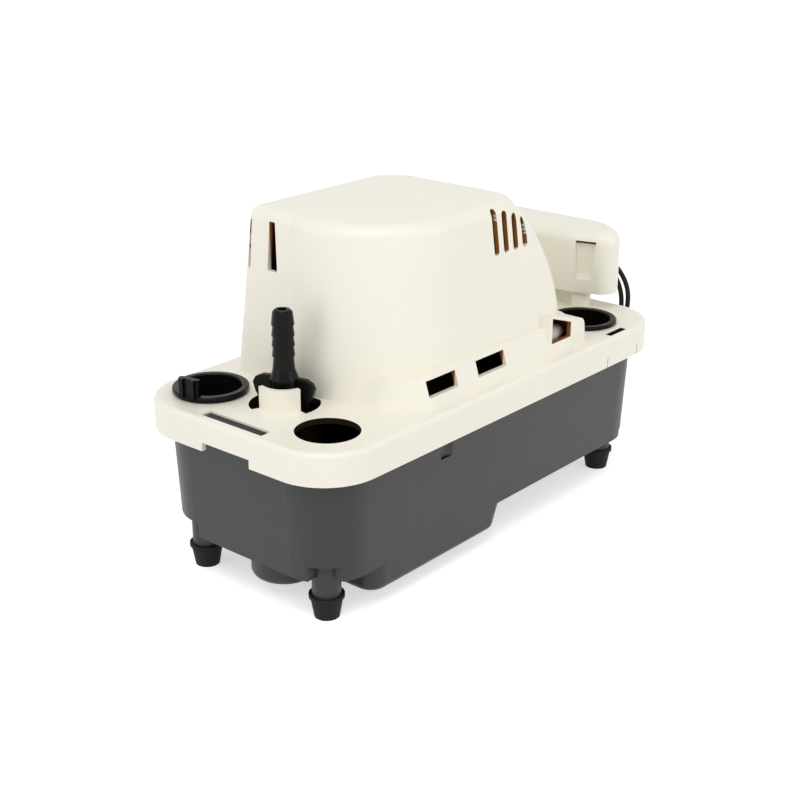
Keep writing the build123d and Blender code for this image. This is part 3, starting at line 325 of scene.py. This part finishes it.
# ---- leads -------------------------------------------------------------------------------------------
LEAD_R = 1.45
COIL_R = 16.0
COIL_CENTRES = {"a": (162.0, 31.2), "b": (162.0, 70.2)}
STUB_IN = 11.0
STUB_OUT = 14.5
STUB_BEND = 3.0         # how far short of the coil's middle the straight ends stop
LEAD_START = {"a": (150.9, -4.0, 112.6), "b": (150.9, -4.0, 107.6)}
LEAD_ROUTES = {
    "a": [(156.0, -4.0, 112.6), (161.2, -6.4, 111.9), (164.8, -11.2, 109.4), (165.4, -16.8, 105.2),
          (164.0, -22.6, 100.4), (161.8, -27.4, 94.6), (159.0, -30.0, 88.0), (156.2, -30.6, 80.4),
          (153.8, -29.4, 71.8), (151.6, -26.4, 62.4), (149.6, -22.2, 52.4), (147.8, -17.4, 42.4),
          (146.3, -12.0, 32.8), (145.2, -6.2, 23.6), (144.7, 0.0, 15.2), (144.55, 6.4, 8.4),
          (144.55, 13.4, 4.35)],
    "b": [(156.6, -4.0, 107.6), (161.9, -7.0, 106.6), (164.8, -12.0, 104.0), (163.9, -17.6, 99.4),
          (161.4, -22.8, 93.2), (158.4, -26.0, 86.4), (155.8, -26.8, 79.0), (153.6, -25.4, 71.0),
          (151.6, -22.0, 62.8), (149.6, -16.8, 54.6), (147.8, -9.4, 46.6), (146.6, -0.8, 38.8),
          (145.8, 8.6, 31.4), (145.2, 18.6, 24.2), (144.8, 29.0, 17.4), (144.6, 39.4, 11.0),
          (144.55, 49.6, 4.35)],
}
OUTER = COIL_R + LEAD_R
INNER = COIL_R - LEAD_R
UPPER = 3 * LEAD_R
LOWER = LEAD_R
# Turns so far, radius and height: the turns start outside on the upper layer and go over to each next
# seat between two parts of a turn.
SEATS = [(0.0, OUTER, UPPER), (0.80, OUTER, UPPER), (0.93, INNER, UPPER), (1.62, INNER, UPPER),
         (1.77, INNER, LOWER), (2.40, INNER, LOWER), (2.55, OUTER, LOWER), (3.25, OUTER, LOWER)]
POINTS_PER_TURN = 16


def seat_at(turn):
    """Radius and height of the coiled lead after so many turns."""
    for (t0, r0, z0), (t1, r1, z1) in zip(SEATS, SEATS[1:]):
        if turn <= t1:
            part = (turn - t0) / (t1 - t0)
            return r0 + (r1 - r0) * part, z0 + (z1 - z0) * part
    return SEATS[-1][1:]


def coil_points(centre):
    """Control points of the coiled stretch, clockwise from the side where the lead comes in."""
    # A smooth line runs inside its control points, so they stand out by this much.
    spread = 2 / (1 + math.cos(2 * math.pi / POINTS_PER_TURN))
    points = []
    steps = round(SEATS[-1][0] * POINTS_PER_TURN)
    for step in range(steps):
        turn = (step + 0.5) / POINTS_PER_TURN
        radius, height = seat_at(turn)
        angle = math.pi - 2 * math.pi * turn
        reach = radius * math.sqrt(spread)
        points.append((centre[0] + reach * math.cos(angle), centre[1] + reach * math.sin(angle), height))
    return points


def lead_points(name):
    """Every control point of one lead, from the grommet to its terminal."""
    x, y = COIL_CENTRES[name]
    inlet = [(x - OUTER, y - STUB_IN, UPPER), (x - OUTER, y - STUB_BEND, UPPER)]
    outlet = [(x + STUB_BEND, y + OUTER, LOWER), (x + STUB_OUT, y + OUTER, LOWER)]
    return [LEAD_START[name], *LEAD_ROUTES[name], *inlet, *coil_points((x, y)), *outlet]


def smooth_line(name, points, radius):
    """A round tube along a smooth line with these control points."""
    curve = bpy.data.curves.new(name, "CURVE")
    curve.dimensions = "3D"
    curve.bevel_depth = radius
    curve.bevel_resolution = 5
    curve.resolution_u = 6
    curve.use_fill_caps = True
    spline = curve.splines.new("NURBS")
    spline.points.add(len(points) - 1)
    for target, point in zip(spline.points, points):
        target.co = (*place(*point), 1.0)
    spline.order_u = 3
    spline.use_endpoint_u = True
    made = bpy.data.objects.new(name, curve)
    bpy.context.scene.collection.objects.link(made)
    return made


for name in "ab":
    lead = smooth_line(f"switch_lead_{name}", lead_points(name), LEAD_R * MM)
    lead.data.materials.append(jacket)
    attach(lead, "base")
    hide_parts(f"lead_{name}", f"lead_{name}_coil")


# ---- studio ------------------------------------------------------------------------------------------
def pale_rays(tree):
    """One where a ray comes from the camera, a reflection or a transparent piece, else nought."""
    path = tree.nodes.new("ShaderNodeLightPath")
    value = path.outputs["Is Camera Ray"]
    for kind in ("Is Glossy Ray", "Is Transmission Ray"):
        either = tree.nodes.new("ShaderNodeMath")
        either.operation = "MAXIMUM"
        tree.links.new(value, either.inputs[0])
        tree.links.new(path.outputs[kind], either.inputs[1])
        value = either.outputs[0]
    return value


def backdrop(size, glow):
    """A white floor that takes the soft shadow of what stands on it."""
    mesh = bpy.data.meshes.new("floor")
    half = size / 2
    corners = [(-half, -half, 0), (half, -half, 0), (half, half, 0), (-half, half, 0)]
    mesh.from_pydata(corners, [], [(0, 1, 2, 3)])
    floor = bpy.data.objects.new("floor", mesh)
    bpy.context.scene.collection.objects.link(floor)
    material = bpy.data.materials.new("floor")
    material.use_nodes = True
    surface = material.node_tree.nodes["Principled BSDF"]
    surface.inputs["Base Color"].default_value = (0.9, 0.9, 0.9, 1.0)
    surface.inputs["Roughness"].default_value = 1.0
    surface.inputs["Specular IOR Level"].default_value = 0.0
    surface.inputs["Emission Color"].default_value = (1, 1, 1, 1)
    scale = material.node_tree.nodes.new("ShaderNodeMath")
    scale.operation = "MULTIPLY"
    scale.inputs[1].default_value = glow
    material.node_tree.links.new(pale_rays(material.node_tree), scale.inputs[0])
    material.node_tree.links.new(scale.outputs[0], surface.inputs["Emission Strength"])
    floor.data.materials.append(material)


def world(level):
    """An even white surround: level lights the object, and the camera and reflections see white."""
    made = bpy.data.worlds.new("studio")
    made.use_nodes = True
    tree = made.node_tree
    background = tree.nodes["Background"]
    background.inputs["Color"].default_value = (1, 1, 1, 1)
    strength = tree.nodes.new("ShaderNodeMapRange")
    strength.inputs["To Min"].default_value = level
    strength.inputs["To Max"].default_value = 1.0
    tree.links.new(pale_rays(tree), strength.inputs["Value"])
    tree.links.new(strength.outputs["Result"], background.inputs["Strength"])
    bpy.context.scene.world = made


def softbox(name, position, target, width, power):
    """A square area lamp that looks at a target."""
    light = bpy.data.lights.new(name, "AREA")
    light.size = width
    light.energy = power
    lamp = bpy.data.objects.new(name, light)
    lamp.location = position
    lamp.rotation_euler = (Vector(target) - Vector(position)).to_track_quat("-Z", "Y").to_euler()
    bpy.context.scene.collection.objects.link(lamp)


FLOOR_SIZE = 12.0
FLOOR_GLOW = 0.55
WORLD_LEVEL = 0.62
MIDDLE = (0, 0, 0.09)
LAMPS = {  # place, width in metres and power in watts
    "key": ((-0.9, -0.5, 1.5), 0.9, 9.0),
    "fill": ((0.5, -1.6, 0.7), 1.2, 5.0),
    "front": ((-1.6, 0.4, 0.6), 1.0, 3.0),
}
backdrop(FLOOR_SIZE, FLOOR_GLOW)
world(WORLD_LEVEL)
for name, (position, width, power) in LAMPS.items():
    softbox(name, position, MIDDLE, width, power)

# ---- camera ------------------------------------------------------------------------------------------
CAMERA_AT = (-547.9, -451.3, 340.5)
HEADING = 49.76
DOWN = 21.27
ROLL = 0.18
LENS = 64.41
camera_data = bpy.data.cameras.new("camera")
camera_data.lens = LENS
camera_data.sensor_width = 36.0
camera = bpy.data.objects.new("camera", camera_data)
forward = Vector((math.sin(math.radians(HEADING)) * math.cos(math.radians(DOWN)),
                  math.cos(math.radians(HEADING)) * math.cos(math.radians(DOWN)),
                  -math.sin(math.radians(DOWN))))
turn = forward.to_track_quat("-Z", "Y").to_matrix().to_4x4() @ Matrix.Rotation(math.radians(ROLL), 4, "Z")
camera.matrix_world = Matrix.Translation(place(*CAMERA_AT)) @ turn
bpy.context.scene.collection.objects.link(camera)
bpy.context.scene.camera = camera
bpy.context.scene.view_settings.view_transform = "Standard"
